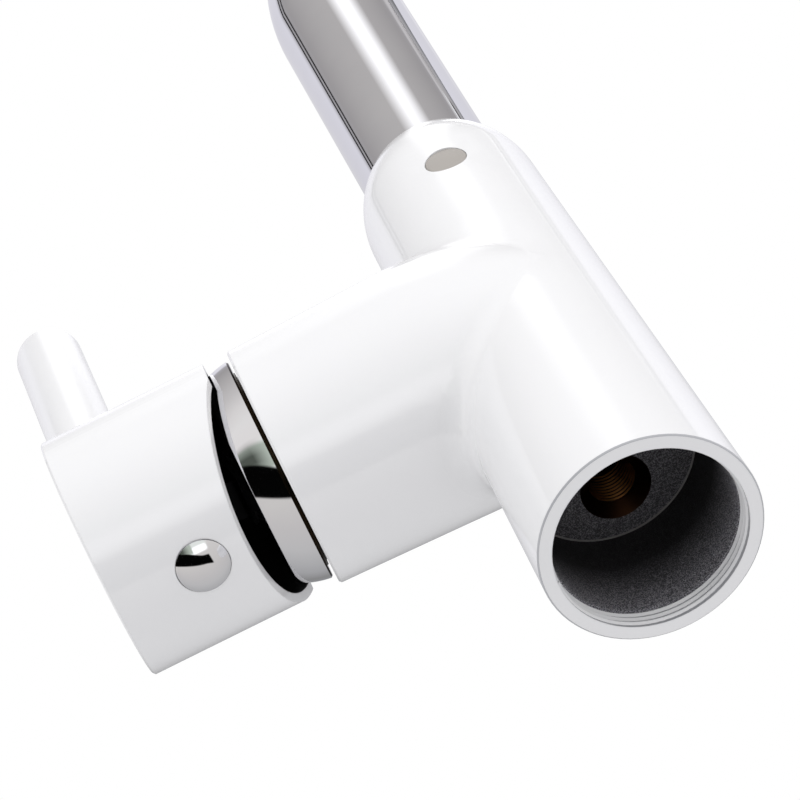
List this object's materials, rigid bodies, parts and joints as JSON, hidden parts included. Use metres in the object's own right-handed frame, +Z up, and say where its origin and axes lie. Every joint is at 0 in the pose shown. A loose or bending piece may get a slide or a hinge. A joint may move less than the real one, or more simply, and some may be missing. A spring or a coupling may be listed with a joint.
{
  "type": "kitchen mixer tap",
  "caption": "Single-lever kitchen mixer tap: white body with a side branch, white cap with a pin lever, chrome swan-neck spout that swivels.",
  "frame": {"origin": "middle of the thread in the mouth of the body's foot, on the plane that stands on the sink", "axes": "+Z up the body, +X along the branch to the handle, -Y the user's side; the spout is swung to -X at rest"},
  "size_m": [0.2873, 0.0498, 0.3188],
  "materials": {
    "white_enamel": "gloss",
    "chrome_plate": "polished",
    "turned_brass": "machined",
    "bare_steel": "machined",
    "black_rubber": "matt",
    "grey_plastic": "satin",
    "white_plastic": "satin",
    "black_plastic": "satin",
    "alumina": "polished"
  },
  "bodies": {
    "body": {"body_casting": "white_enamel", "hole_plug": "grey_plastic", "spout_retaining_screw": "bare_steel", "cartridge_base": "white_plastic", "base_seals": "black_rubber", "fixed_disc": "alumina", "cartridge_housing": "grey_plastic", "retaining_nut": "turned_brass", "dome_ring": "chrome_plate"},
    "spout": {"spout_tube": "chrome_plate", "spout_tail": "turned_brass", "tail_o_rings": "black_rubber", "glide_ring": "white_plastic", "thrust_ring": "white_plastic", "outlet_socket": "turned_brass", "aerator_housing": "chrome_plate", "aerator_insert": "grey_plastic", "aerator_washer": "black_rubber"},
    "rotor": {"rotor": "black_plastic", "pivot_pin": "bare_steel"},
    "handle": {"stem": "bare_steel", "handle_cap": "white_enamel", "lever_rod": "white_enamel", "handle_set_screw": "bare_steel", "handle_button": "chrome_plate"},
    "disc": {"moving_disc": "alumina", "disc_carrier": "black_plastic"}
  },
  "joints": [
    {"name": "spout_swivel", "type": "hinge", "parent": "body", "child": "spout", "pos_m": [0, 0, 0.1], "axis": [0, 0, 1], "continuous": true},
    {"name": "handle_turn", "type": "hinge", "parent": "body", "child": "rotor", "pos_m": [0.056, 0, 0.0715], "axis": [1, 0, 0], "range_deg": [-59.7, 40.3]},
    {"name": "handle_lift", "type": "hinge", "parent": "rotor", "child": "handle", "pos_m": [0.056, 0, 0.0715], "axis": [0, 0.9857, 0.1685], "range_deg": [0, 25]},
    {"name": "disc_slide", "type": "slide", "parent": "rotor", "child": "disc", "axis": [0, -0.1685, 0.9857], "range_m": [0, 0.00571]}
  ],
  "couplings": [
    {"joint": "disc_slide", "follows": "handle_lift", "m_per_rad": 0.013076}
  ]
}
